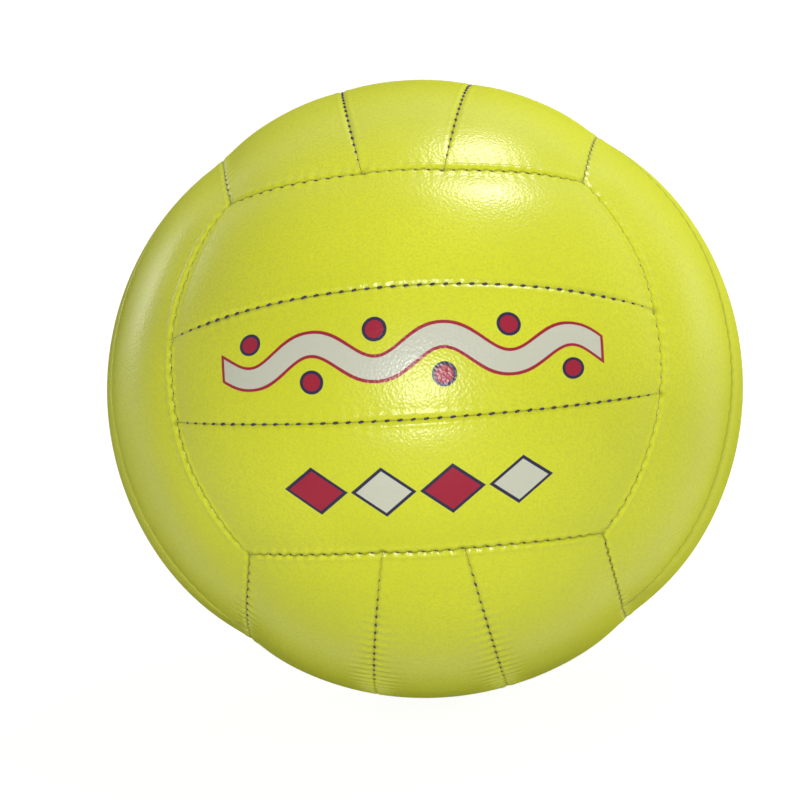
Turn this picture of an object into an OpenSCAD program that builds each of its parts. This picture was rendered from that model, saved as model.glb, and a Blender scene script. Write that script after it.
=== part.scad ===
// An inflated volleyball of 18 sewn panels: six faces of three strips, with the padding behind them,
// the thread in the seams, the bladder and the valve.
// Millimetres. The origin is the middle of the ball, +Z is up, -Y is the front and +X is to the right.
// A face has its own frame: x runs along its strips, y across them and z out of the ball.

/* [Ball] */
// Width, across the left and right faces
ball_width = 213; // [204:0.5:220]
// Depth, across the front and back faces
ball_depth = 210; // [204:0.5:220]
// Height, across the top and bottom faces
ball_height = 207; // [204:0.5:220]
// How much lower the points where three faces meet lie than the middles of the faces
corner_sink = 1.8; // [0.5:0.1:3]
// How far the ball is rolled back on the ground, so that its front face looks up
roll_back = 20; // [0:1:40]

/* [Panels] */
// Half of the angle that a middle strip takes at the middle of the ball
strip_angle = 12.2; // [9:0.1:16]
// Angle from the middle of a face to the middle of its short edge
end_angle = 51.9; // [48:0.1:56]
// Thickness of the skin
skin_t = 1.1; // [0.8:0.1:1.6]
// Thickness of the panel edges that are turned inwards
turned_edge_t = 1.3; // [1.1:0.1:2]
// Gap between the turned edges of two panels
seam_gap = 0.3; // [0.1:0.05:0.6]
// Radius of the groove along a seam
groove_r = 0.9; // [0.7:0.05:1]

/* [Padding] */
// Thickness of the padding where it is thinnest, at the corners of the faces
padding_t = 1.7; // [1.2:0.1:5]
// Thickness of the glue between the padding and the skin
glue_t = 0.1; // [0.05:0.05:0.3]

/* [Stitching] */
// Radius of the thread
thread_r = 0.42; // [0.3:0.02:0.5]
// Clearance between the thread and the bottom of its groove
thread_gap = 0.05; // [0.02:0.01:0.15]
// Distance from the end of a thread to the seam that it runs into
thread_end_gap = 1.8; // [1.6:0.1:4]

/* [Bladder] */
// Thickness of the bladder
bladder_t = 0.8; // [0.5:0.1:1.5]
// Gap between the bladder and the padding
bladder_gap = 0.1; // [0.05:0.05:0.3]

/* [Valve] */
// Radius of the valve's neck, which shows in the cover
neck_r = 4; // [3.6:0.1:6]
// Clearance round the neck
neck_gap = 0.15; // [0.1:0.05:0.4]
// Depth of the neck's end below the cover
neck_sink = 0.6; // [0.2:0.1:1]
// Radius of the flange that is bonded to the bladder
flange_r = 11; // [8:0.5:16]
// Thickness of the flange
flange_t = 1.5; // [1:0.1:2.5]
// Thickness of the bond between the flange and the bladder
bond_t = 0.05; // [0.02:0.01:0.1]
// Radius of the boss inside the bladder
boss_r = 5.5; // [5:0.1:7.5]
// Length of the boss, from the flange inwards
boss_l = 9; // [7:0.5:14]
// Radius of the reinforcing patch behind the padding
patch_r = 13; // [9:0.5:18]
// Thickness of the patch
patch_t = 0.5; // [0.3:0.1:0.8]
// Radius of the plug's head
head_r = 2.8; // [2.6:0.1:3.2]
// Thickness of the plug's head
head_t = 2; // [1.5:0.1:3]
// Radius of the plug's stem
stem_r = 2.1; // [1.9:0.05:2.3]
// Radial clearance of the plug in the housing
plug_gap = 0.06; // [0.03:0.01:0.1]
// Gap between the plug's head and its seat
seat_gap = 0.1; // [0.05:0.05:0.3]
// Radius of the passage for the pump's needle
needle_r = 1.1; // [0.9:0.05:1.3]
// Length of the passage
needle_l = 9; // [6:0.5:11]
// Radius of the funnel that leads into the passage
funnel_r = 1.8; // [1.5:0.1:2.2]
// Depth of the funnel
funnel_l = 0.7; // [0.4:0.1:1.2]

/* [Hidden] */
$fn = 144;
section_fn = 24;
degree = 180 / PI;

// Half of the ball's size along X, Y and Z
half_size = [ball_width / 2, ball_depth / 2, ball_height / 2];
// A length that is longer than the ball
reach = ball_width + ball_depth + ball_height;

// Where three faces meet
corner_r = reach / 6 - corner_sink;
corner_side = corner_r / sqrt(3);

// The sphere that the padding rests on, under the lowest place of the cover
core_r = min(concat(half_size, corner_r)) - skin_t - glue_t - padding_t;

// The plane of a short edge: its slope to the face's own plane, and its distance from the middle of the ball
end_slope = atan2(cos(end_angle) - 1 / sqrt(3), sin(end_angle) - 1 / sqrt(3));
end_level = corner_side * (cos(end_slope) - sin(end_slope));
corner_out = corner_side * (cos(end_slope) + sin(end_slope));

// Insets from a seam plane to the edge of a panel, to its pocket and to its padding
edge_inset = seam_gap / 2;
pocket_inset = edge_inset + turned_edge_t;
padding_inset = pocket_inset + glue_t;

// Depth of the thread's middle below the seam line
thread_sink = groove_r - thread_r - thread_gap;
// How far a groove runs on past the end of its seam
groove_overrun = 2;

// The valve, along the normal of its face
valve_face = "left";
neck_top = half_size[0] - neck_sink;
flange_top = core_r - bladder_gap - bladder_t - bond_t;
flange_bottom = flange_top - flange_t;
boss_bottom = flange_bottom - boss_l;
seat_level = neck_top - head_t - seat_gap;
hole_r = neck_r + neck_gap;

// Each face: its name, the axis of its normal, how it is turned, and the names of its strips from -y to +y
faces = [
    ["front", 1, [90, 0, 0], ["lower", "middle", "upper"]],
    ["back", 1, [90, 0, 180], ["lower", "middle", "upper"]],
    ["top", 2, [0, 0, 90], ["right", "middle", "left"]],
    ["bottom", 2, [180, 0, 90], ["left", "middle", "right"]],
    ["right", 0, [0, -90, 180], ["back", "middle", "front"]],
    ["left", 0, [0, -90, 0], ["front", "middle", "back"]]
];
strips = [-1, 0, 1];

function strip_name(piece, face, strip) = str(piece, "_", face[0], "_", face[3][strip + 1]);
function seam_name(piece, face) = str(piece, "_", face[0]);

cover_colour = [0.84, 0.86, 0.27];
padding_colour = [0.93, 0.92, 0.86];
thread_colour = [0.16, 0.13, 0.27];
bladder_colour = [0.12, 0.12, 0.13];
patch_colour = [0.85, 0.84, 0.8];
housing_colour = [0.18, 0.18, 0.19];
plug_colour = [0.28, 0.28, 0.29];

// The faces that lie past a face's short edges and past its long edges, by the axes of their normals
function along_axis(axis) = (axis + 2) % 3;
function across_axis(axis) = (axis + 1) % 3;

// A face is part of a sphere through its corners and the middle of the face
function crown_offset(axis) =
    (half_size[axis] ^ 2 - corner_r ^ 2) / (2 * (half_size[axis] - corner_side));
function crown_r(axis) = half_size[axis] - crown_offset(axis);

// The seam at +y between two strips: radius of its circle, and half of its turn
function strip_run_r(axis) = sqrt(crown_r(axis) ^ 2 - (crown_offset(axis) * sin(strip_angle)) ^ 2);
function strip_half_turn(axis) =
    let (
        rise = cos(strip_angle) * cos(end_slope),
        drop = sin(end_slope),
        level = (end_level - crown_offset(axis) * cos(strip_angle) * rise) / strip_run_r(axis)
    )
    acos(level / norm([rise, drop])) - atan2(drop, rise);

// The seam at the short edge of a face: how far out its middle lies on the face and on the next face
function own_out(axis) =
    let (offset = crown_offset(axis), away = end_level - offset * cos(end_slope))
    offset * sin(end_slope) + sqrt(crown_r(axis) ^ 2 - away ^ 2);
function next_out(axis) =
    let (offset = crown_offset(axis), away = end_level + offset * sin(end_slope))
    offset * cos(end_slope) + sqrt(crown_r(axis) ^ 2 - away ^ 2);
function end_out(axis) = (own_out(axis) + next_out(along_axis(axis))) / 2;

// The circle of that seam, through its middle and the two corners of the face
function end_run_centre(axis) =
    (end_out(axis) ^ 2 - corner_out ^ 2 - corner_side ^ 2) / (2 * (end_out(axis) - corner_out));
function end_run_r(axis) = end_out(axis) - end_run_centre(axis);
function end_half_turn(axis) = atan2(corner_side, corner_out - end_run_centre(axis));

// Puts a piece from a face's own frame onto the ball as it lies
module on_face(face)
    rotate([-roll_back, 0, 0])
        rotate(face[2])
            children();

// The face with its name
function face_named(name) = [for (face = faces) if (face[0] == name) face][0];

// All space above a level
module above(level)
    translate([-reach, -reach, level])
        cube([2 * reach, 2 * reach, reach]);

// All space below a level
module below(level)
    mirror([0, 0, 1])
        above(-level);

// The space between the planes of a face's two short edges
module between_ends(inset)
    intersection() {
        rotate([0, -end_slope, 0]) above(end_level + inset);
        rotate([0, end_slope, 0]) above(end_level + inset);
    }

// The space of a face's middle strip
module middle_space(inset)
    intersection() {
        between_ends(inset);
        rotate([90 - strip_angle, 0, 0]) above(inset);
        rotate([90 + strip_angle, 0, 0]) below(-inset);
    }

// The space of a face's outer strip at +y
module outer_space(inset)
    intersection() {
        between_ends(inset);
        rotate([90 - strip_angle, 0, 0]) below(-inset);
        rotate([-90 - end_slope, 0, 0]) below(end_level - inset);
    }

// The space of any strip of a face
module strip_space(strip, inset)
    if (strip == 0)
        middle_space(inset);
    else if (strip > 0)
        outer_space(inset);
    else
        mirror([0, 1, 0])
            outer_space(inset);

// The ball below one face, to a depth under its surface
module crown(axis, depth)
    translate([0, 0, crown_offset(axis)])
        sphere(r = crown_r(axis) - depth);

// A round section that runs along the strip seam at +y
module strip_run(axis, section_r, sink, end_gap) {
    half_turn = strip_half_turn(axis) - end_gap / strip_run_r(axis) * degree;
    rotate([90 - strip_angle, 0, 0])
        translate([0, crown_offset(axis) * cos(strip_angle), 0])
            rotate_extrude(angle = 2 * half_turn, start = 90 - half_turn)
                translate([strip_run_r(axis) - sink, 0])
                    circle(r = section_r, $fn = section_fn);
}

// A round section that runs along the short edge of a face at +x
module end_run(axis, section_r, sink, end_gap) {
    half_turn = end_half_turn(axis) - end_gap / end_run_r(axis) * degree;
    rotate([0, -end_slope, 0])
        translate([end_run_centre(axis), 0, end_level])
            rotate_extrude(angle = 2 * half_turn, start = -half_turn)
                translate([end_run_r(axis) - sink, 0])
                    circle(r = section_r, $fn = section_fn);
}

// The grooves round one strip: both short edges, the strip seams, and the long edge of an outer strip
module strip_grooves(axis, strip) {
    for (turn = [0, 180])
        rotate([0, 0, turn])
            end_run(axis, groove_r, 0, -groove_overrun);
    if (strip >= 0)
        strip_run(axis, groove_r, 0, -groove_overrun);
    if (strip <= 0)
        mirror([0, 1, 0])
            strip_run(axis, groove_r, 0, -groove_overrun);
    if (strip != 0)
        mirror([0, strip < 0 ? 1 : 0, 0])
            rotate(a = 240, v = [1, 1, 1])
                end_run(across_axis(axis), groove_r, 0, -groove_overrun);
}

// The hole for the valve's neck, from the middle of the ball outwards
module valve_hole()
    cylinder(r = hole_r, h = reach);

// One strip of the cover, with its edges turned inwards
module panel(face, strip)
    color(cover_colour)
        on_face(face)
            difference() {
                intersection() {
                    crown(face[1], 0);
                    strip_space(strip, edge_inset);
                }
                sphere(r = core_r);
                intersection() {
                    crown(face[1], skin_t);
                    strip_space(strip, pocket_inset);
                }
                strip_grooves(face[1], strip);
                if (face[0] == valve_face && strip == 0)
                    valve_hole();
            }

// The padding behind one strip, inside its turned edges
module padding(face, strip)
    color(padding_colour)
        on_face(face)
            difference() {
                intersection() {
                    crown(face[1], skin_t + glue_t);
                    strip_space(strip, padding_inset);
                }
                sphere(r = core_r);
                if (face[0] == valve_face && strip == 0) {
                    valve_hole();
                    intersection() {
                        sphere(r = core_r + patch_t + glue_t);
                        cylinder(r = patch_r + glue_t, h = reach);
                    }
                }
            }

// The thread along the two strip seams of a face
module strip_stitching(face)
    color(thread_colour)
        on_face(face) {
            strip_run(face[1], thread_r, thread_sink, thread_end_gap);
            mirror([0, 1, 0])
                strip_run(face[1], thread_r, thread_sink, thread_end_gap);
        }

// The thread along the two short edges of a face
module end_stitching(face)
    color(thread_colour)
        on_face(face)
            for (turn = [0, 180])
                rotate([0, 0, turn])
                    end_run(face[1], thread_r, thread_sink, thread_end_gap);

// The rubber bladder, with the hole for the valve's neck
module bladder()
    color(bladder_colour)
        on_face(face_named(valve_face))
            difference() {
                sphere(r = core_r - bladder_gap);
                sphere(r = core_r - bladder_gap - bladder_t);
                valve_hole();
            }

// The ring between the padding and the bladder, round the valve
module valve_patch()
    color(patch_colour)
        on_face(face_named(valve_face))
            difference() {
                intersection() {
                    sphere(r = core_r + patch_t);
                    cylinder(r = patch_r, h = reach);
                }
                sphere(r = core_r);
                valve_hole();
            }

// The rubber body of the valve: neck, flange against the inside of the bladder, boss and stepped bore
module valve_housing()
    color(housing_colour)
        on_face(face_named(valve_face))
            difference() {
                union() {
                    translate([0, 0, flange_bottom])
                        cylinder(r = neck_r, h = neck_top - flange_bottom);
                    translate([0, 0, boss_bottom])
                        cylinder(r = boss_r, h = flange_bottom + flange_t / 2 - boss_bottom);
                    intersection() {
                        difference() {
                            sphere(r = flange_top);
                            sphere(r = flange_bottom);
                        }
                        cylinder(r = flange_r, h = reach);
                    }
                }
                cylinder(r = stem_r + plug_gap, h = reach);
                translate([0, 0, seat_level])
                    cylinder(r = head_r + plug_gap, h = reach);
            }

// The push-in plug of the valve, with the funnel and the passage for the needle
module valve_plug()
    color(plug_colour)
        on_face(face_named(valve_face))
            difference() {
                union() {
                    translate([0, 0, boss_bottom])
                        cylinder(r = stem_r, h = neck_top - boss_bottom);
                    translate([0, 0, neck_top - head_t])
                        cylinder(r = head_r, h = head_t);
                }
                translate([0, 0, neck_top - funnel_l - needle_l])
                    cylinder(r = needle_r, h = reach);
                translate([0, 0, neck_top - funnel_l])
                    cylinder(r1 = needle_r, r2 = funnel_r, h = funnel_l);
            }

for (face = faces, strip = strips)
    panel(face, strip);
for (face = faces, strip = strips)
    padding(face, strip);
for (face = faces)
    strip_stitching(face);
for (face = faces)
    end_stitching(face);
bladder();
valve_patch();
valve_housing();
valve_plug();
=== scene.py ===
import itertools
import math
from dataclasses import dataclass, replace

import bpy
import numpy as np
from mathutils import Matrix, Vector


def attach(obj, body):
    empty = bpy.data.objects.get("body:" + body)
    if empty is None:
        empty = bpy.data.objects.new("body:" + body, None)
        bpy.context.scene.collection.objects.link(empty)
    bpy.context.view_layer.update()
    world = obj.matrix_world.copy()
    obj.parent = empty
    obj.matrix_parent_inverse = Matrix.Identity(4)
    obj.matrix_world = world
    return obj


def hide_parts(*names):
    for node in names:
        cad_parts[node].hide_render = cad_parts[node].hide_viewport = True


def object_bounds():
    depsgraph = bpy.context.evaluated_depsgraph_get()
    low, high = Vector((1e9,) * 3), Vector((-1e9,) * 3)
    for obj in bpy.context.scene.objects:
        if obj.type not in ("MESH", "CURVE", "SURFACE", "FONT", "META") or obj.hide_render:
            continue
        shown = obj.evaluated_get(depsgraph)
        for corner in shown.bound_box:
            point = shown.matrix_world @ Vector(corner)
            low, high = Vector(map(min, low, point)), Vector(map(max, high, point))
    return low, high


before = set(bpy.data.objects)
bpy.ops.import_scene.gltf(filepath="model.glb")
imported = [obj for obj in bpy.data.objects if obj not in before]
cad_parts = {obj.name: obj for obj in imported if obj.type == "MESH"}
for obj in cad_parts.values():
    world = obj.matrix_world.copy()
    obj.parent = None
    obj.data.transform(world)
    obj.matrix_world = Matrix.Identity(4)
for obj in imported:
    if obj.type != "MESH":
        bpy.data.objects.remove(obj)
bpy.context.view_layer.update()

MM = 0.001

# The ball, as its solids have it
HALF_SIZE = np.array([106.5, 105.0, 103.5]) * MM
CORNER_RADIUS = 103.2 * MM
CORE_RADIUS = 100.3 * MM
MEAN_RADIUS = 104.0 * MM
ROLL_BACK = math.radians(20.0)
STRIP_ANGLE = math.radians(12.2)
END_ANGLE = math.radians(51.9)
SKIN = 1.1 * MM
TURNED_EDGE = 1.3 * MM
GLUE = 0.1 * MM
VALVE_FACE = "left"
VALVE_HOLE = 4.15 * MM

# How the faces' crowns run into each other
CROWN_BLEND = 8

# The cover's edges at a seam
SEAM_OPENING = 0.03 * MM
ROLL_POWER = 1.25
LIP_PLACE = 1.7 * MM
LIP_WIDTH = 0.8 * MM
SEAM_WAVE_REACH = 2.5 * MM
SEAM_WAVE_FADE = 8 * MM
SEAM_JOIN_POWER = 4

# Slow changes along a seam, in its valley and its puckers; of the phases drawn for them three are used
PHASES_PER_SEAM = 4
LONG_SWELL = 17 * MM
SHORT_SWELL = 7 * MM
VALLEY_UNEVEN = 0.12
PUCKER_SWELL = 11 * MM
PUCKER_UNEVEN = 0.35

# Strong puckers fade towards the ends of their seam
STRONG_PUCKER_END = 45 * MM
WEAK_PUCKER_START = 72 * MM
WEAK_PUCKER = 0.25

# Where seams meet, the cover is drawn in further, down to a little above the bladder
PINCH_DEPTH = 0.45 * MM
PINCH_WIDTH = 1.9 * MM
# There the colour also gets painted shade, over its own width
PINCH_SHADE = 0.8
PINCH_SHADE_WIDTH = 1.1 * MM
LEAST_COVER = 0.4 * MM

# The stitches
STITCH_PITCH = 4.3 * MM
STITCH_LENGTH = 2.15 * MM
STITCH_BEND = 0.4 * MM
STITCH_SLANT = math.radians(13.0)
STITCH_TAPER = 3.5
STITCH_DEPTH_SPREAD = 0.05 * MM
STITCH_END_GAP = 1.6 * MM

# Mesh steps of a panel, along and across its strip; the inside has a quarter of them
ALONG_STEPS = 300
ACROSS_STEPS = 72
INSIDE_SHARE = 4
INSIDE_STEPS = (ALONG_STEPS // INSIDE_SHARE, ACROSS_STEPS // INSIDE_SHARE)
EDGE_GRADING = 0.55
ROW_SAMPLES = 2001

# The tool that cuts the valve's hole
CUTTER_SIDES = 96
CUTTER_LENGTH = 60 * MM

# Slow unevenness of the inflated cover
WOBBLE_DEPTH = 0.22 * MM
WOBBLE_WAVES = 7
WOBBLE_TURNS = (4.0, 9.0)

# The camera, as the photograph was taken
VIEW_AZIMUTH = math.radians(2.63)
VIEW_ELEVATION = math.radians(13.2)
VIEW_ROLL = math.radians(4.06)
VIEW_DISTANCE = 3.39
IMAGE_SIZE = 800
BALL_CENTRE_PX = (425.0, 388.7)
PX_PER_METRE = 2990.0
SENSOR_WIDTH = 36.0
CAMERA_REACH = 50

# The floor and the even light of the surround
FLOOR_SIZE = 30
FLOOR_ROUGHNESS = 0.9
FLOOR_MOTTLE = 2
FLOOR_GLOW = 1.78
FLOOR_GLOW_SHARE = 0.5
SURROUND_LIGHT = 0.08

SEED = 18
random = np.random.default_rng(SEED)

# The direction of a corner has this share along each of the three axes
CORNER_SHARE = 1 / math.sqrt(3)
END_SLOPE = math.atan2(math.cos(END_ANGLE) - CORNER_SHARE, math.sin(END_ANGLE) - CORNER_SHARE)
END_LEVEL = CORNER_SHARE * (math.cos(END_SLOPE) - math.sin(END_SLOPE))
END_LATITUDE = math.asin(END_LEVEL)


@dataclass
class Face:
    """One of the six faces: its outward normal, the way its strips run and their names across it."""

    name: str
    normal: np.ndarray
    along: np.ndarray
    strips: tuple

    @property
    def across(self):
        return np.cross(self.normal, self.along)


@dataclass
class SeamStyle:
    """How a kind of seam looks.

    Its valley has a sink and a reach, its edges a roll with a lip, and its puckers fade with distance.
    Its line swings by wave, and uneven is the spread of its stitches in slant and in length.
    """

    sink: float
    reach: float
    roll: float
    roll_width: float
    lip: float
    pucker: float
    pucker_reach: float
    # Painted shade: how dark the cover's colour is painted along the groove, and how far that reaches
    shade: float
    shade_width: float
    thread_depth: float
    thread_radius: float
    wave: float
    uneven: float


@dataclass
class Seam:
    """A seam on the unit sphere: the circle where a plane with this axis and level cuts it."""

    axis: np.ndarray
    level: float
    middle: np.ndarray
    side: np.ndarray
    half_turn: float
    style: SeamStyle
    phases: np.ndarray

    @property
    def ring(self):
        return math.sqrt(1 - self.level**2)

    def beside(self, directions):
        """Distance from the seam, on the ball."""
        latitude = np.arcsin(np.clip(directions @ self.axis, -1, 1))
        return np.abs(latitude - math.asin(self.level)) * MEAN_RADIUS

    def along(self, directions):
        """Place along the seam, from its middle."""
        turn = np.arctan2(directions @ self.side, directions @ self.middle)
        return turn * self.ring * MEAN_RADIUS

    @property
    def half_length(self):
        return self.half_turn * self.ring * MEAN_RADIUS

    def waved(self, directions):
        """Directions shifted across the seam, so that its line swings from stitch to stitch."""
        place = self.along(directions)
        fade = np.clip((self.half_length - np.abs(place)) / SEAM_WAVE_FADE, 0, 1)
        swing = self.style.wave * fade * np.sin(2 * math.pi * place / STITCH_PITCH)
        swing = swing * np.exp(-((self.beside(directions) / SEAM_WAVE_REACH) ** 2))
        shifted = directions + self.axis * swing[..., None] / MEAN_RADIUS
        return shifted / np.linalg.norm(shifted, axis=-1, keepdims=True)

    def point(self, place):
        """Direction of a place along the seam, and the seam's own direction there."""
        turn = place / (self.ring * MEAN_RADIUS)
        outward = self.axis * self.level
        outward = outward + self.ring * (math.cos(turn) * self.middle + math.sin(turn) * self.side)
        forward = math.cos(turn) * self.side - math.sin(turn) * self.middle
        return outward, forward


def vector(*numbers):
    return np.array(numbers, dtype=float)


FACES = {
    face.name: face
    for face in (
        Face("front", vector(0, -1, 0), vector(1, 0, 0), ("lower", "middle", "upper")),
        Face("back", vector(0, 1, 0), vector(-1, 0, 0), ("lower", "middle", "upper")),
        Face("top", vector(0, 0, 1), vector(0, 1, 0), ("right", "middle", "left")),
        Face("bottom", vector(0, 0, -1), vector(0, 1, 0), ("left", "middle", "right")),
        Face("right", vector(1, 0, 0), vector(0, 0, 1), ("back", "middle", "front")),
        Face("left", vector(-1, 0, 0), vector(0, 0, 1), ("front", "middle", "back")),
    )
}
STRIPS = (-1, 0, 1)

STRIP_STYLE = SeamStyle(
    sink=0.45 * MM, reach=5 * MM, roll=0.5 * MM, roll_width=0.75 * MM, lip=0.18 * MM,
    pucker=0.14 * MM, pucker_reach=2.2 * MM, shade=0.35, shade_width=0.5 * MM,
    thread_depth=0.37 * MM, thread_radius=0.43 * MM, wave=0, uneven=0.07,
)
SIDE_STYLE = SeamStyle(
    sink=0.7 * MM, reach=5 * MM, roll=1.3 * MM, roll_width=1.3 * MM, lip=0.3 * MM,
    pucker=0.16 * MM, pucker_reach=2.4 * MM, shade=0.85, shade_width=1.3 * MM,
    thread_depth=0.9 * MM, thread_radius=0.44 * MM, wave=0, uneven=0.07,
)
PUCKERED_STYLE = SeamStyle(
    sink=0.4 * MM, reach=5 * MM, roll=0.42 * MM, roll_width=0.8 * MM, lip=0.15 * MM,
    pucker=0.5 * MM, pucker_reach=4.2 * MM, shade=0.35, shade_width=0.7 * MM,
    thread_depth=0.46 * MM, thread_radius=0.33 * MM, wave=0.16 * MM, uneven=0.2,
)
END_STYLE = SeamStyle(
    sink=1.6 * MM, reach=9.5 * MM, roll=0.6 * MM, roll_width=0.75 * MM, lip=0.28 * MM,
    pucker=0.26 * MM, pucker_reach=2.0 * MM, shade=0.75, shade_width=0.42 * MM,
    thread_depth=0.75 * MM, thread_radius=0.3 * MM, wave=0.28 * MM, uneven=0.14,
)
FAINT_END_STYLE = replace(END_STYLE, shade=0.4, roll=0.45 * MM, thread_depth=0.85 * MM, wave=0.18 * MM)
SOFT_END_STYLE = replace(END_STYLE, roll=0.4 * MM, lip=0.12 * MM, thread_depth=0.55 * MM)
END_STYLES = {
    "front": FAINT_END_STYLE,
    "back": FAINT_END_STYLE,
    "left": SOFT_END_STYLE,
    "right": SOFT_END_STYLE,
}
STRIP_STYLES = {"bottom": PUCKERED_STYLE, "left": SIDE_STYLE, "right": SIDE_STYLE}


# The seams

def strip_seam(face, sign):
    """The seam between a face's middle strip and an outer one."""
    rise = math.cos(STRIP_ANGLE) * math.cos(END_SLOPE)
    drop = math.sin(END_SLOPE)
    return Seam(
        axis=sign * face.across * math.cos(STRIP_ANGLE) - face.normal * math.sin(STRIP_ANGLE),
        level=0.0,
        middle=sign * face.across * math.sin(STRIP_ANGLE) + face.normal * math.cos(STRIP_ANGLE),
        side=face.along,
        half_turn=math.acos(END_LEVEL / math.hypot(rise, drop)) - math.atan2(drop, rise),
        style=STRIP_STYLES.get(face.name, STRIP_STYLE),
        phases=random.uniform(0, 2 * math.pi, PHASES_PER_SEAM),
    )


def end_seam(face, sign):
    """The seam at one short end of a face."""
    return Seam(
        axis=face.normal * math.cos(END_SLOPE) - sign * face.along * math.sin(END_SLOPE),
        level=END_LEVEL,
        middle=sign * face.along * math.cos(END_SLOPE) + face.normal * math.sin(END_SLOPE),
        side=face.across,
        half_turn=math.atan2(1, math.cos(END_SLOPE) + math.sin(END_SLOPE)),
        style=END_STYLES.get(face.name, END_STYLE),
        phases=random.uniform(0, 2 * math.pi, PHASES_PER_SEAM),
    )


STRIP_SEAMS = {(name, sign): strip_seam(FACES[name], sign) for name in FACES for sign in (1, -1)}
END_SEAMS = {(name, sign): end_seam(FACES[name], sign) for name in FACES for sign in (1, -1)}


CORNERS = [CORNER_SHARE * vector(*signs) for signs in itertools.product((1, -1), repeat=3)]
STRIP_SEAM_ENDS = [
    seam.point(sign * seam.half_length)[0] for seam in STRIP_SEAMS.values() for sign in (1, -1)
]
MEETINGS = np.array(STRIP_SEAM_ENDS + CORNERS)


def face_towards(direction):
    """The face whose normal is nearest to a direction."""
    return max(FACES.values(), key=lambda face: face.normal @ direction)


def seams_round(face, strip):
    """The seams on all sides of a strip."""
    seams = [END_SEAMS[face.name, 1], END_SEAMS[face.name, -1]]
    if strip >= 0:
        seams.append(STRIP_SEAMS[face.name, 1])
    if strip <= 0:
        seams.append(STRIP_SEAMS[face.name, -1])
    if strip != 0:
        neighbour = face_towards(strip * face.across)
        sign = 1 if neighbour.along @ face.normal > 0 else -1
        seams.append(END_SEAMS[neighbour.name, sign])
    return seams


def seams_at_strip_seam(face, sign):
    """A strip seam, and the end seams that it runs into."""
    return [STRIP_SEAMS[face.name, sign], END_SEAMS[face.name, 1], END_SEAMS[face.name, -1]]


def seams_at_end_seam(face, sign):
    """An end seam, the strip seams that run into it and the seams at its corners."""
    neighbour = face_towards(sign * face.along)
    seams = [END_SEAMS[face.name, sign], STRIP_SEAMS[face.name, 1], STRIP_SEAMS[face.name, -1]]
    return seams + [END_SEAMS[neighbour.name, 1], END_SEAMS[neighbour.name, -1]]


# The inflated surface

def crown(face, directions):
    """Radius of the sphere that a face is cut from, seen from the middle of the ball."""
    half = HALF_SIZE[int(np.argmax(np.abs(face.normal)))]
    offset = (half**2 - CORNER_RADIUS**2) / (2 * (half - CORNER_RADIUS * CORNER_SHARE))
    lean = directions @ face.normal
    return offset * lean + np.sqrt((half - offset) ** 2 - offset**2 * (1 - lean**2))


def plain_radius(directions):
    """Radius of the ball without its seams."""
    total = 0.0
    weights = 0.0
    for face in FACES.values():
        weight = np.clip(directions @ face.normal, 0, None) ** CROWN_BLEND
        total = total + weight * crown(face, directions)
        weights = weights + weight
    return total / weights


wobble_axes = random.normal(size=(WOBBLE_WAVES, 3))
wobble_axes /= np.linalg.norm(wobble_axes, axis=1, keepdims=True)
wobble_turns = random.uniform(*WOBBLE_TURNS, WOBBLE_WAVES)
wobble_phases = random.uniform(0, 2 * math.pi, WOBBLE_WAVES)


def wobble(directions):
    """Depth of the cover's slow unevenness, which is half of its full depth on average."""
    waves = np.sin(directions @ wobble_axes.T * wobble_turns + wobble_phases)
    return WOBBLE_DEPTH * (0.5 + 0.5 * waves.mean(axis=-1) * math.sqrt(WOBBLE_WAVES) / 2)


def valley(seam, directions):
    """Depth of a seam's broad valley."""
    place = seam.along(directions)
    slow = np.sin(place / LONG_SWELL + seam.phases[0]) + np.sin(place / SHORT_SWELL + seam.phases[1])
    deepest = seam.style.sink * (1 + VALLEY_UNEVEN * slow)
    return deepest / (1 + (seam.beside(directions) / seam.style.reach) ** 2)


def seam_dip(seam, directions):
    """How deep one seam draws the cover in: its valley, its rolled edge with a lip, and its puckers."""
    style = seam.style
    beside = seam.beside(directions)
    place = seam.along(directions)
    roll = style.roll * np.exp(-((beside / style.roll_width) ** ROLL_POWER))
    lip = style.lip * np.exp(-(((beside - LIP_PLACE) / LIP_WIDTH) ** 2))
    uneven = 1 + PUCKER_UNEVEN * np.sin(place / PUCKER_SWELL + seam.phases[2])
    if style is PUCKERED_STYLE:
        uneven = uneven * np.interp(
            np.abs(place), (STRONG_PUCKER_END, WEAK_PUCKER_START), (1, WEAK_PUCKER)
        )
    pull = style.pucker * uneven * np.cos(2 * math.pi * place / STITCH_PITCH)
    pull = pull * np.exp(-beside / style.pucker_reach)
    return np.clip(valley(seam, directions) + roll - lip + pull, 0, None)


def joined(depths):
    """Depths of several seams run into one."""
    return sum(depth**SEAM_JOIN_POWER for depth in depths) ** (1 / SEAM_JOIN_POWER)


def pinch(directions, width):
    """How near a place is to where seams meet: 1 there, and fading with distance."""
    nearest = (directions @ MEETINGS.T).max(axis=-1)
    distance = np.arccos(np.clip(nearest, -1, 1)) * MEAN_RADIUS
    return np.exp(-((distance / width) ** 2))


def dip(directions, seams):
    """How deep all the seams round a strip draw the cover in."""
    depth = joined([seam_dip(seam, directions) for seam in seams])
    return depth + PINCH_DEPTH * pinch(directions, PINCH_WIDTH)


def cover_radius(directions, seams):
    """Radius of the cover's outside."""
    radius = plain_radius(directions) - wobble(directions) - dip(directions, seams)
    return np.maximum(radius, CORE_RADIUS + LEAST_COVER)


# The strips' grids

def graded(steps):
    """Shares from 0 to 1, closer together near both ends."""
    even = np.linspace(-1, 1, steps + 1)
    return ((1 - EDGE_GRADING) * even + EDGE_GRADING * np.sin(math.pi / 2 * even) + 1) / 2


def outer_strip_lines(inset):
    """Across = first + second * normal, along the lower and the upper side of the outer strip."""
    low = (math.sin(inset) / math.cos(STRIP_ANGLE), math.tan(STRIP_ANGLE))
    high = (math.sin(END_LATITUDE - inset) / math.cos(END_SLOPE), math.tan(END_SLOPE))
    return low, high


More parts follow.
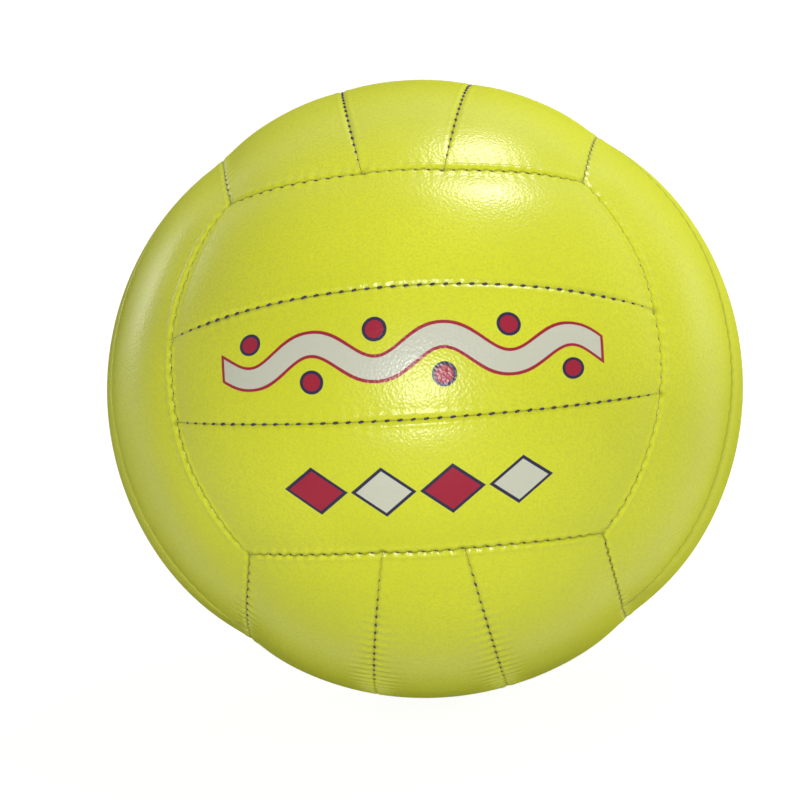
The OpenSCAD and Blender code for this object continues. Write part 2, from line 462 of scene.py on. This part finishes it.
def middle_strip_lines(inset):
    """The same for the middle strip."""
    first = math.sin(inset) / math.cos(STRIP_ANGLE)
    return (first, -math.tan(STRIP_ANGLE)), (-first, math.tan(STRIP_ANGLE))


def line_angle(line):
    """Angle from the normal at which a side crosses the middle of the face."""
    first, second = line
    return math.atan(second) + math.asin(first / math.hypot(1, second))


def row_directions(first, second, share, end_level):
    """Directions along one row of a strip, at shares of the way to its ends, as along, across, normal."""
    steep = (share / math.tan(END_SLOPE)) ** 2
    pivot = end_level / math.cos(END_SLOPE)
    square = steep + second**2 + 1
    linear = 2 * (first * second - steep * pivot)
    constant = steep * pivot**2 + first**2 - 1
    normal = (-linear + np.sqrt(linear**2 - 4 * square * constant)) / (2 * square)
    along = share / math.tan(END_SLOPE) * (normal - pivot)
    return np.stack([along, first + second * normal, normal], axis=-1)


def strip_grid(strip, inset, along_steps, across_steps):
    """Directions over a strip in its face's own axes, with rows from low to high across."""
    angle = inset / MEAN_RADIUS
    low, high = middle_strip_lines(angle) if strip == 0 else outer_strip_lines(angle)
    end_level = math.sin(END_LATITUDE + angle)
    fine = np.linspace(-1, 1, ROW_SAMPLES)
    rows = []
    for tilt in line_angle(low) + (line_angle(high) - line_angle(low)) * graded(across_steps):
        reach = math.sin(tilt) - low[0] - low[1] * math.cos(tilt)
        span = high[0] - low[0] + (high[1] - low[1]) * math.cos(tilt)
        share = reach / span
        first = low[0] + share * (high[0] - low[0])
        second = low[1] + share * (high[1] - low[1])
        path = row_directions(first, second, fine, end_level)
        lengths = np.linalg.norm(np.diff(path, axis=0), axis=1)
        run = np.concatenate([[0], np.cumsum(lengths)])
        even = np.interp(graded(along_steps) * run[-1], run, fine)
        rows.append(row_directions(first, second, even, end_level))
    grid = np.array(rows)
    if strip < 0:
        grid = grid[::-1] * vector(1, -1, 1)
    return grid


def on_ball(face, grid):
    """Turns directions from a face's own axes to the ball's."""
    return grid @ np.stack([face.along, face.across, face.normal])


# Meshes

LYING = np.array(Matrix.Rotation(-ROLL_BACK, 3, "X"))


def new_object(name, points, faces):
    """A smooth mesh object with the ball rolled back as it lies."""
    mesh = bpy.data.meshes.new(name)
    mesh.from_pydata((points @ LYING.T).tolist(), [], faces)
    mesh.update()
    mesh.shade_smooth()
    piece = bpy.data.objects.new(name, mesh)
    bpy.context.scene.collection.objects.link(piece)
    return piece


def grid_faces(rows, columns, start=0, inside=False):
    """Quads over a grid of points."""
    corner = start + np.arange(rows - 1)[:, None] * columns + np.arange(columns - 1)
    quads = np.stack([corner, corner + 1, corner + columns + 1, corner + columns], axis=-1)
    quads = quads.reshape(-1, 4)
    return (quads[:, ::-1] if inside else quads).tolist()


def border(rows, columns, start=0):
    """Indices round a grid's border, anticlockwise from outside."""
    index = start + np.arange(rows * columns).reshape(rows, columns)
    return np.concatenate([index[0, :-1], index[:-1, -1], index[-1, :0:-1], index[:0:-1, 0]])


def loop_faces(upper, lower):
    """Quads between two loops of as many points, the lower one further in."""
    return np.stack([lower, np.roll(lower, -1), np.roll(upper, -1), upper], axis=-1).tolist()


def stepped_loop_faces(fine, coarse):
    """Triangles between a loop and one with a quarter of its points."""
    faces = []
    count = len(fine)
    half = INSIDE_SHARE // 2
    for corner, index in enumerate(coarse):
        following = coarse[(corner + 1) % len(coarse)]
        start = corner * INSIDE_SHARE
        for step in range(INSIDE_SHARE):
            nearest = index if step < half else following
            faces.append([nearest, fine[(start + step + 1) % count], fine[(start + step) % count]])
        faces.append([index, following, fine[(start + half) % count]])
    return [[int(number) for number in face] for face in faces]


def set_attribute(piece, name, values):
    """Stores one number for each point of a mesh."""
    attribute = piece.data.attributes.new(name, "FLOAT", "POINT")
    attribute.data.foreach_set("value", np.asarray(values, dtype=np.float32))


def strip_places(face, directions):
    """Places along and across a face, measured on the ball from the middle of the face."""
    normal = directions @ face.normal
    along = np.arctan2(directions @ face.along, normal) * MEAN_RADIUS
    across = np.arctan2(directions @ face.across, normal) * MEAN_RADIUS
    return along, across


def panel_mesh(name, face, strip):
    """One strip of the cover: its outside, its turned edges and its inside, as one closed skin."""
    seams = seams_round(face, strip)
    outside = on_ball(face, strip_grid(strip, SEAM_OPENING, ALONG_STEPS, ACROSS_STEPS))
    rows, columns = outside.shape[:2]
    outside = outside.reshape(-1, 3)
    radius = cover_radius(outside, seams)
    # Painted shade along the grooves of the seams, stored on the points for the cover's colour
    shades = [
        seam.style.shade * np.exp(-((seam.beside(outside) / seam.style.shade_width) ** 2)) for seam in seams
    ]
    # More painted shade where seams meet
    shades.append(PINCH_SHADE * pinch(outside, PINCH_SHADE_WIDTH))
    for seam in seams:
        outside = seam.waved(outside)
    rim = border(rows, columns)

    inside = on_ball(face, strip_grid(strip, SEAM_OPENING + TURNED_EDGE, *INSIDE_STEPS))
    in_rows, in_columns = inside.shape[:2]
    inside = inside.reshape(-1, 3)
    in_radius = np.maximum(cover_radius(inside, seams) - SKIN, CORE_RADIUS + 2 * GLUE)
    in_rim = border(in_rows, in_columns)

    foot = CORE_RADIUS + GLUE
    wall = outside[rim] * ((radius[rim] + foot) / 2)[:, None]
    wall_foot = outside[rim][::INSIDE_SHARE] * foot
    turned_foot = inside[in_rim] * foot
    blocks = [outside * radius[:, None], wall, wall_foot, turned_foot, inside * in_radius[:, None]]
    starts = np.cumsum([0] + [len(block) for block in blocks])
    loops = [starts[number] + np.arange(len(blocks[number])) for number in (1, 2, 3)]

    faces = grid_faces(rows, columns)
    faces += loop_faces(rim, loops[0])
    faces += stepped_loop_faces(loops[0], loops[1])
    faces += loop_faces(loops[1], loops[2])
    faces += loop_faces(loops[2], starts[4] + in_rim)
    faces += grid_faces(in_rows, in_columns, int(starts[4]), inside=True)

    piece = new_object(name, np.concatenate(blocks), faces)
    hidden = starts[5] - starts[1]
    set_attribute(piece, "seam_shade", np.concatenate([np.max(shades, axis=0), np.ones(hidden)]))
    for label, places in zip(("strip_along", "strip_across"), strip_places(face, outside)):
        set_attribute(piece, label, np.concatenate([places, np.ones(hidden)]))
    return piece


def padding_mesh(name, face, strip):
    """The padding behind one strip, from the skin down to the bladder."""
    seams = seams_round(face, strip)
    grid = on_ball(face, strip_grid(strip, SEAM_OPENING + TURNED_EDGE + GLUE, *INSIDE_STEPS))
    rows, columns = grid.shape[:2]
    grid = grid.reshape(-1, 3)
    radius = np.maximum(cover_radius(grid, seams) - SKIN - GLUE, CORE_RADIUS + GLUE)
    count = len(grid)
    faces = grid_faces(rows, columns)
    faces += loop_faces(border(rows, columns), border(rows, columns, count))
    faces += grid_faces(rows, columns, count, inside=True)
    return new_object(name, np.concatenate([grid * radius[:, None], grid * CORE_RADIUS]), faces)


def stitch_points(radius, sides=8, rings=9):
    """One stitch along X that dives at both ends, and its faces."""
    points = []
    for place in np.linspace(-1, 1, rings + 2)[1:-1]:
        width = radius * (1 - abs(place) ** STITCH_TAPER) ** 0.5
        for corner in range(sides):
            turn = 2 * math.pi * corner / sides
            height = width * math.sin(turn) - STITCH_BEND * place**2
            points.append((place * STITCH_LENGTH / 2, width * math.cos(turn), height))
    points.append((-STITCH_LENGTH / 2, 0, -STITCH_BEND))
    points.append((STITCH_LENGTH / 2, 0, -STITCH_BEND))
    faces = []
    for ring in range(rings - 1):
        for corner in range(sides):
            start = ring * sides
            after = (corner + 1) % sides
            faces.append([start + corner, start + after, start + sides + after, start + sides + corner])
    last = (rings - 1) * sides
    for corner in range(sides):
        after = (corner + 1) % sides
        faces.append([rings * sides, after, corner])
        faces.append([rings * sides + 1, last + corner, last + after])
    return np.array(points), faces


def stitching_mesh(name, meetings):
    """All the stitches of some seams, each given with the seams that it meets."""
    points = []
    faces = []
    for meeting in meetings:
        seam = meeting[0]
        shape, shape_faces = stitch_points(seam.style.thread_radius)
        count = int((seam.half_length - STITCH_END_GAP) // STITCH_PITCH)
        for number in range(-count, count + 1):
            outward, forward = seam.point(number * STITCH_PITCH)
            slant = STITCH_SLANT + random.normal(0, seam.style.uneven)
            stretch = 1 + random.normal(0, seam.style.uneven)
            beside = np.cross(outward, forward)
            forward, beside = (
                math.cos(slant) * forward + math.sin(slant) * beside,
                math.cos(slant) * beside - math.sin(slant) * forward,
            )
            depth = joined([valley(other, outward) for other in meeting])
            depth += seam.style.thread_depth + PINCH_DEPTH * pinch(outward, PINCH_WIDTH)
            depth += random.normal(0, STITCH_DEPTH_SPREAD)
            centre = outward * (plain_radius(outward) - wobble(outward) - depth)
            start = len(points) * len(shape)
            points.append(centre + shape * vector(stretch, 1, 1) @ np.stack([forward, beside, outward]))
            faces += [[start + index for index in face] for face in shape_faces]
    return new_object(name, np.concatenate(points), faces)


# Materials

def colour(red, green, blue):
    """A colour from its sRGB values, 0 to 255, as linear light."""
    def linear(value):
        share = value / 255
        return share / 12.92 if share <= 0.04045 else ((share + 0.055) / 1.055) ** 2.4
    return (linear(red), linear(green), linear(blue), 1.0)


class Material:
    """A node material with a Principled shader, built up step by step."""

    def __init__(self, name, base, roughness):
        self.material = bpy.data.materials.new(name)
        self.material.use_nodes = True
        self.tree = self.material.node_tree
        self.shader = self.tree.nodes["Principled BSDF"]
        self.shader.inputs["Base Color"].default_value = base
        self.shader.inputs["Roughness"].default_value = roughness

    def node(self, kind, **values):
        made = self.tree.nodes.new(kind)
        for name, value in values.items():
            setattr(made, name, value)
        return made

    def link(self, output, socket):
        self.tree.links.new(output, socket)

    def math(self, operation, first, second=0.0, third=None):
        made = self.node("ShaderNodeMath", operation=operation)
        values = [first, second] if third is None else [first, second, third]
        for number, value in enumerate(values):
            if isinstance(value, (int, float)):
                made.inputs[number].default_value = value
            else:
                self.link(value, made.inputs[number])
        return made.outputs["Value"]

    def attribute(self, name):
        return self.node("ShaderNodeAttribute", attribute_name=name).outputs["Fac"]

    def facing(self):
        """0 where the surface is seen square on, and 1 where it is seen along itself."""
        return self.node("ShaderNodeLayerWeight").outputs["Facing"]

    def noise(self, scale, detail):
        made = self.node("ShaderNodeTexNoise")
        made.inputs["Scale"].default_value = scale
        made.inputs["Detail"].default_value = detail
        self.link(self.place(), made.inputs["Vector"])
        return made.outputs["Fac"]

    def cells(self, scale):
        made = self.node("ShaderNodeTexVoronoi", feature="SMOOTH_F1")
        made.inputs["Scale"].default_value = scale
        made.inputs["Smoothness"].default_value = CELL_SMOOTHNESS
        self.link(self.place(), made.inputs["Vector"])
        return made.outputs["Distance"]

    def place(self):
        return self.node("ShaderNodeTexCoord").outputs["Object"]

    def ramp(self, value, low, high, from_low, from_high):
        """A value moved from one span to another, without going past its ends."""
        made = self.node("ShaderNodeMapRange", clamp=True)
        self.link(value, made.inputs["Value"])
        ends = {"From Min": from_low, "From Max": from_high, "To Min": low, "To Max": high}
        for socket, number in ends.items():
            made.inputs[socket].default_value = number
        return made.outputs["Result"]

    def within(self, distance, reach):
        """1 where a distance is less than a reach and 0 where it is more, with a fine soft edge."""
        return self.ramp(distance, 1.0, 0.0, reach - PRINT_EDGE, reach + PRINT_EDGE)

    def mix(self, factor, first, second):
        """Two colours mixed; the node has other sockets of the same names, so these go by number."""
        made = self.node("ShaderNodeMix", data_type="RGBA")
        self.link(factor, made.inputs["Factor"])
        for socket, value in zip((made.inputs[6], made.inputs[7]), (first, second)):
            if isinstance(value, tuple):
                socket.default_value = value
            else:
                self.link(value, socket)
        return made.outputs[2]

    def bump(self, height, distance):
        made = self.node("ShaderNodeBump")
        made.inputs["Distance"].default_value = distance
        made.inputs["Strength"].default_value = 1.0
        self.link(height, made.inputs["Height"])
        self.link(made.outputs["Normal"], self.shader.inputs["Normal"])

    def set(self, socket, value):
        self.link(value, self.shader.inputs[socket])


# The plain printed pattern on the front
WAVE_LENGTH = 44 * MM
WAVE_HEIGHT = 5 * MM
WAVE_HALF_LENGTH = 66 * MM
RIBBON_HALF_WIDTH = 3.6 * MM
DOT_RADIUS = 3.0 * MM
DOT_HEIGHT = 8 * MM
DIAMOND_PLACE = -46 * MM
DIAMOND_PITCH = 25 * MM
DIAMOND_HALF_LENGTH = 11 * MM
DIAMOND_HALF_HEIGHT = 8 * MM
DIAMOND_PAIRS = 2
OUTLINE = 1.1 * MM
PRINT_EDGE = 0.1 * MM
INK_RED = colour(158, 14, 46)
INK_PALE = colour(204, 206, 186)
INK_NAVY = colour(24, 18, 62)

COVER = colour(218, 223, 40)
COVER_PALE = colour(220, 225, 44)
COVER_DEEP = colour(213, 219, 36)
# The olive of the painted shade in the seams' grooves and where seams meet
COVER_SEAM_SHADE = colour(138, 138, 30)
COVER_SPECK = colour(204, 209, 54)
THREAD = colour(38, 28, 66)
THREAD_DARK = colour(26, 20, 46)
THREAD_PALE = colour(58, 44, 88)
FLOOR = (0.52, 0.52, 0.52, 1.0)
FLOOR_DARK = (0.5, 0.5, 0.5, 1.0)
FLOOR_PALE = (0.54, 0.54, 0.54, 1.0)

# The cover's surface: scales of its textures per metre, and its gloss
CLOUD_SCALE = 22
CLOUD_SPAN = (0.35, 0.65)
SPECK_SCALE = 1150
SPECK_SPAN = (0.4, 0.72)
SPECK_STRENGTH = 0.8
WEAR_SCALE = 60
WEAR_SPAN = (0.3, 0.7)
COVER_ROUGHNESS = 0.3
LEAST_ROUGHNESS = 0.28
MOST_ROUGHNESS = 0.34
EDGE_ON_SPAN = (0.53, 0.88)
COVER_SPECULAR = 0.38
PEBBLE_SCALE = 1000
PEBBLE_DEPTH = 0.09 * MM
CELL_SMOOTHNESS = 0.6
GRAIN_SCALE = 2600
GRAIN_SHARE = 0.25

# The thread's surface, and how much finer than its mottling a plain material's bump is
THREAD_ROUGHNESS = 0.62
THREAD_MOTTLE = 900
THREAD_TWIST = 2400
THREAD_BUMP = 0.08 * MM
BUMP_FINENESS = 3


def wave_print(made, base):
    """A swinging ribbon with a dot in every bend, for the middle of the front."""
    along = made.attribute("strip_along")
    across = made.attribute("strip_across")
    angle = made.math("MULTIPLY", along, 2 * math.pi / WAVE_LENGTH)
    line = made.math("MULTIPLY", made.math("SINE", angle), WAVE_HEIGHT)
    slope = made.math("MULTIPLY", made.math("COSINE", angle), WAVE_HEIGHT * 2 * math.pi / WAVE_LENGTH)
    stretch = made.math("SQRT", made.math("MULTIPLY_ADD", slope, slope, 1.0))
    ribbon = made.math("ABSOLUTE", made.math("SUBTRACT", across, line))
    ribbon = made.math("DIVIDE", ribbon, stretch)
    past_end = made.math("SUBTRACT", made.math("ABSOLUTE", along), WAVE_HALF_LENGTH)
    ribbon = made.math("MAXIMUM", ribbon, made.math("ADD", past_end, RIBBON_HALF_WIDTH))
    cell = made.math("FLOORED_MODULO", along, WAVE_LENGTH / 2)
    cell = made.math("SUBTRACT", cell, WAVE_LENGTH / 4)
    side = made.math("SIGN", line)
    height = made.math("MULTIPLY_ADD", side, DOT_HEIGHT, across)
    square = made.math("MULTIPLY_ADD", cell, cell, made.math("MULTIPLY", height, height))
    dot = made.math("MAXIMUM", made.math("SQRT", square), made.math("ADD", past_end, DOT_RADIUS))
    base = made.mix(made.within(ribbon, RIBBON_HALF_WIDTH + OUTLINE), base, INK_RED)
    base = made.mix(made.within(ribbon, RIBBON_HALF_WIDTH), base, INK_PALE)
    base = made.mix(made.within(dot, DOT_RADIUS + OUTLINE), base, INK_NAVY)
    return made.mix(made.within(dot, DOT_RADIUS), base, INK_RED)


def diamond_print(made, base):
    """A row of outlined diamonds in two colours, for the lower strip of the front."""
    along = made.attribute("strip_along")
    height = made.math("SUBTRACT", made.attribute("strip_across"), DIAMOND_PLACE)
    cell = made.math("FLOORED_MODULO", along, DIAMOND_PITCH)
    cell = made.math("ABSOLUTE", made.math("SUBTRACT", cell, DIAMOND_PITCH / 2))
    reach = made.math("DIVIDE", made.math("ABSOLUTE", height), DIAMOND_HALF_HEIGHT)
    reach = made.math("MULTIPLY_ADD", cell, 1 / DIAMOND_HALF_LENGTH, reach)
    scale = DIAMOND_HALF_LENGTH * DIAMOND_HALF_HEIGHT / math.hypot(DIAMOND_HALF_LENGTH, DIAMOND_HALF_HEIGHT)
    edge = made.math("MULTIPLY_ADD", reach, scale, -scale)
    past_end = made.math("SUBTRACT", made.math("ABSOLUTE", along), DIAMOND_PAIRS * DIAMOND_PITCH)
    edge = made.math("MAXIMUM", edge, past_end)
    number = made.math("FLOOR", made.math("DIVIDE", along, DIAMOND_PITCH))
    fill = made.mix(made.math("FLOORED_MODULO", number, 2.0), INK_RED, INK_PALE)
    base = made.mix(made.within(edge, OUTLINE / 2), base, INK_NAVY)
    return made.mix(made.within(edge, -OUTLINE / 2), base, fill)


def cover_material(name, add_print=None):
    """Soft pebbled synthetic leather in fluorescent yellow-green, plain or printed."""
    made = Material(name, COVER, COVER_ROUGHNESS)
    cloudy = made.ramp(made.noise(CLOUD_SCALE, 3), 0.0, 1.0, *CLOUD_SPAN)
    base = made.mix(cloudy, COVER_DEEP, COVER_PALE)
    specks = made.ramp(made.noise(SPECK_SCALE, 2), 0.0, SPECK_STRENGTH, *SPECK_SPAN)
    base = made.mix(specks, base, COVER_SPECK)
    if add_print:
        base = add_print(made, base)
    # The seam shade paints shade into the colour, darker towards the olive along the seams' grooves
    made.set("Base Color", made.mix(made.attribute("seam_shade"), base, COVER_SEAM_SHADE))
    worn = made.ramp(made.noise(WEAR_SCALE, 3), LEAST_ROUGHNESS, MOST_ROUGHNESS, *WEAR_SPAN)
    edge_on = made.ramp(made.facing(), 0.0, 1.0, *EDGE_ON_SPAN)
    made.set("Roughness", made.math("MULTIPLY_ADD", made.math("SUBTRACT", 1.0, worn), edge_on, worn))
    made.shader.inputs["Specular IOR Level"].default_value = COVER_SPECULAR
    grain = made.math("MULTIPLY", made.noise(GRAIN_SCALE, 2), GRAIN_SHARE)
    made.bump(made.math("ADD", made.cells(PEBBLE_SCALE), grain), PEBBLE_DEPTH)
    return made.material


def thread_material():
    """Dark twisted thread."""
    made = Material("thread", THREAD, THREAD_ROUGHNESS)
    made.set("Base Color", made.mix(made.noise(THREAD_MOTTLE, 2), THREAD_DARK, THREAD_PALE))
    made.bump(made.noise(THREAD_TWIST, 2), THREAD_BUMP)
    return made.material


def plain_material(name, dark, light, roughness, scale, bump):
    """A material with a mottled colour and a finer bump."""
    made = Material(name, light, roughness)
    made.set("Base Color", made.mix(made.noise(scale, 3), dark, light))
    made.bump(made.noise(scale * BUMP_FINENESS, 3), bump)
    return made.material


def seen_directly(tree):
    """1 for rays from the camera or from a gloss or glass surface, and 0 for diffuse light."""
    paths = tree.nodes.new("ShaderNodeLightPath")
    total = paths.outputs["Is Camera Ray"]
    for name in ("Is Glossy Ray", "Is Transmission Ray"):
        either = tree.nodes.new("ShaderNodeMath")
        either.operation = "MAXIMUM"
        tree.links.new(total, either.inputs[0])
        tree.links.new(paths.outputs[name], either.inputs[1])
        total = either.outputs["Value"]
    return total


def floor_material():
    """A pale floor that is white where it is seen or mirrored and keeps the ball's shadow."""
    made = Material("floor", FLOOR, FLOOR_ROUGHNESS)
    made.set("Base Color", made.mix(made.noise(FLOOR_MOTTLE, 2), FLOOR_DARK, FLOOR_PALE))
    glow = made.node("ShaderNodeEmission")
    glow.inputs["Strength"].default_value = FLOOR_GLOW
    blend = made.node("ShaderNodeMixShader")
    share = made.math("MULTIPLY", seen_directly(made.tree), FLOOR_GLOW_SHARE)
    made.link(share, blend.inputs["Fac"])
    made.link(made.shader.outputs["BSDF"], blend.inputs[1])
    made.link(glow.outputs["Emission"], blend.inputs[2])
    made.link(blend.outputs["Shader"], made.tree.nodes["Material Output"].inputs["Surface"])
    return made.material


def dress(piece, material):
    piece.data.materials.clear()
    piece.data.materials.append(material)


# The pieces

def panel_name(kind, face, strip):
    return f"{kind}_{face.name}_{face.strips[strip + 1]}"


def cut_valve_hole(piece):
    """Cuts the hole for the valve's neck through a panel or its padding."""
    face = FACES[VALVE_FACE]
    bpy.ops.mesh.primitive_cylinder_add(vertices=CUTTER_SIDES, radius=VALVE_HOLE, depth=CUTTER_LENGTH)
    cutter = bpy.context.object
    turn = Vector(LYING @ face.normal).to_track_quat("Z", "Y")
    cutter.matrix_world = Matrix.LocRotScale(Vector(LYING @ face.normal * HALF_SIZE[0]), turn, None)
    bpy.context.view_layer.update()
    cut = piece.modifiers.new("valve_hole", "BOOLEAN")
    cut.operation = "DIFFERENCE"
    cut.solver = "EXACT"
    cut.object = cutter
    bpy.context.view_layer.update()
    shape = bpy.data.meshes.new_from_object(piece.evaluated_get(bpy.context.evaluated_depsgraph_get()))
    piece.modifiers.clear()
    piece.data = shape
    bpy.data.objects.remove(cutter)


def make_panels():
    cover = cover_material("cover")
    printed = {
        "panel_front_middle": cover_material("cover_with_wave", wave_print),
        "panel_front_lower": cover_material("cover_with_diamonds", diamond_print),
    }
    foam = plain_material(
        "foam", colour(228, 226, 214), colour(240, 238, 228), roughness=0.9, scale=500, bump=0.1 * MM
    )
    for face in FACES.values():
        for strip in STRIPS:
            node = panel_name("panel", face, strip)
            panel = panel_mesh(f"cover_{node}", face, strip)
            backing = padding_mesh(f"soft_{panel_name('padding', face, strip)}", face, strip)
            if face.name == VALVE_FACE and strip == 0:
                cut_valve_hole(panel)
                cut_valve_hole(backing)
            dress(panel, printed.get(node, cover))
            dress(backing, foam)
            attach(panel, "ball")
            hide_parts(node)
            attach(backing, "ball")
            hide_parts(panel_name("padding", face, strip))


def make_stitching(thread):
    for kind, seams_at in (("strip", seams_at_strip_seam), ("end", seams_at_end_seam)):
        for name, face in FACES.items():
            node = f"{kind}_stitching_{name}"
            piece = stitching_mesh(f"stitches_{node}", [seams_at(face, 1), seams_at(face, -1)])
            dress(piece, thread)
            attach(piece, "ball")
            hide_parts(node)


def dress_frame():
    rubber = plain_material(
        "bladder_rubber", colour(24, 24, 26), colour(40, 40, 43), roughness=0.55, scale=90, bump=0.02 * MM
    )
    housing = plain_material(
        "valve_rubber", colour(38, 38, 40), colour(52, 52, 55), roughness=0.5, scale=700, bump=0.03 * MM
    )
    plug = plain_material(
        "plug_rubber", colour(62, 62, 64), colour(80, 80, 83), roughness=0.45, scale=900, bump=0.03 * MM
    )
    cloth = plain_material(
        "patch_cloth", colour(206, 203, 192), colour(226, 223, 212),
        roughness=0.85, scale=1200, bump=0.1 * MM,
    )
    for node, material in (
        ("bladder", rubber),
        ("valve_housing", housing),
        ("valve_plug", plug),
        ("valve_patch", cloth),
    ):
        dress(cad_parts[node], material)


# The stage

def camera_axes():
    """The camera's right, up and backward directions."""
    back = Vector((
        math.sin(VIEW_AZIMUTH) * math.cos(VIEW_ELEVATION),
        -math.cos(VIEW_AZIMUTH) * math.cos(VIEW_ELEVATION),
        math.sin(VIEW_ELEVATION),
    ))
    level_right = Vector((math.cos(VIEW_AZIMUTH), math.sin(VIEW_AZIMUTH), 0))
    level_up = back.cross(level_right)
    up = level_up * math.cos(VIEW_ROLL) + level_right * math.sin(VIEW_ROLL)
    return up.cross(back), up, back


def make_camera():
    """The camera looks past the middle of the ball, so that the ball sits where the photograph has it."""
    right, up, back = camera_axes()
    data = bpy.data.cameras.new("camera")
    data.sensor_width = SENSOR_WIDTH
    data.lens = SENSOR_WIDTH * VIEW_DISTANCE * PX_PER_METRE / IMAGE_SIZE
    data.clip_end = CAMERA_REACH
    camera = bpy.data.objects.new("camera", data)
    aside = (BALL_CENTRE_PX[0] - IMAGE_SIZE / 2) / PX_PER_METRE
    above = (IMAGE_SIZE / 2 - BALL_CENTRE_PX[1]) / PX_PER_METRE
    place = back * VIEW_DISTANCE - right * aside - up * above
    turn = Matrix((right, up, back)).transposed()
    camera.matrix_world = Matrix.Translation(place) @ turn.to_4x4()
    bpy.context.scene.collection.objects.link(camera)
    bpy.context.scene.camera = camera


def make_light(name, aim, distance, size, power, mirrored=True):
    """A soft square lamp that stands right of the ball, above it and towards the camera, as aim says.

    Gloss shows the lamp itself where it is mirrored, and otherwise only its light.
    """
    right, up, back = camera_axes()
    towards = (right * aim[0] + up * aim[1] + back * aim[2]).normalized()
    data = bpy.data.lights.new(name, "AREA")
    data.size = size
    data.energy = power
    lamp = bpy.data.objects.new(name, data)
    lamp.matrix_world = Matrix.LocRotScale(towards * distance, towards.to_track_quat("Z", "Y"), None)
    lamp.visible_camera = False
    lamp.visible_glossy = mirrored
    bpy.context.scene.collection.objects.link(lamp)


def make_world(strength):
    """An even studio surround, white where it is seen or mirrored."""
    world = bpy.data.worlds.new("studio")
    bpy.context.scene.world = world
    world.use_nodes = True
    tree = world.node_tree
    surround = tree.nodes["Background"]
    surround.inputs["Color"].default_value = (1.0, 1.0, 1.0, 1.0)
    level = tree.nodes.new("ShaderNodeMapRange")
    level.inputs["To Min"].default_value = strength
    tree.links.new(seen_directly(tree), level.inputs["Value"])
    tree.links.new(level.outputs["Result"], surround.inputs["Strength"])


def make_floor():
    bpy.ops.mesh.primitive_plane_add(size=FLOOR_SIZE, location=(0, 0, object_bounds()[0].z))
    floor = bpy.context.object
    floor.name = "floor"
    dress(floor, floor_material())


make_camera()
make_panels()
make_stitching(thread_material())
dress_frame()
make_floor()
make_light("front", aim=(-0.02, -0.02, 1.0), distance=2.6, size=0.24, power=46.5)
make_light("over", aim=(0.26, 0.965, -0.02), distance=1.3, size=0.3, power=9.5)
make_light("right", aim=(0.82, 0.15, -0.56), distance=1.6, size=0.7, power=22, mirrored=False)
make_light("left", aim=(-0.62, 0.25, -0.75), distance=1.4, size=0.4, power=3.5)
make_light("back", aim=(0.0, 0.12, -1.0), distance=2.6, size=0.5, power=24)
make_world(SURROUND_LIGHT)
bpy.context.scene.view_settings.view_transform = "Standard"
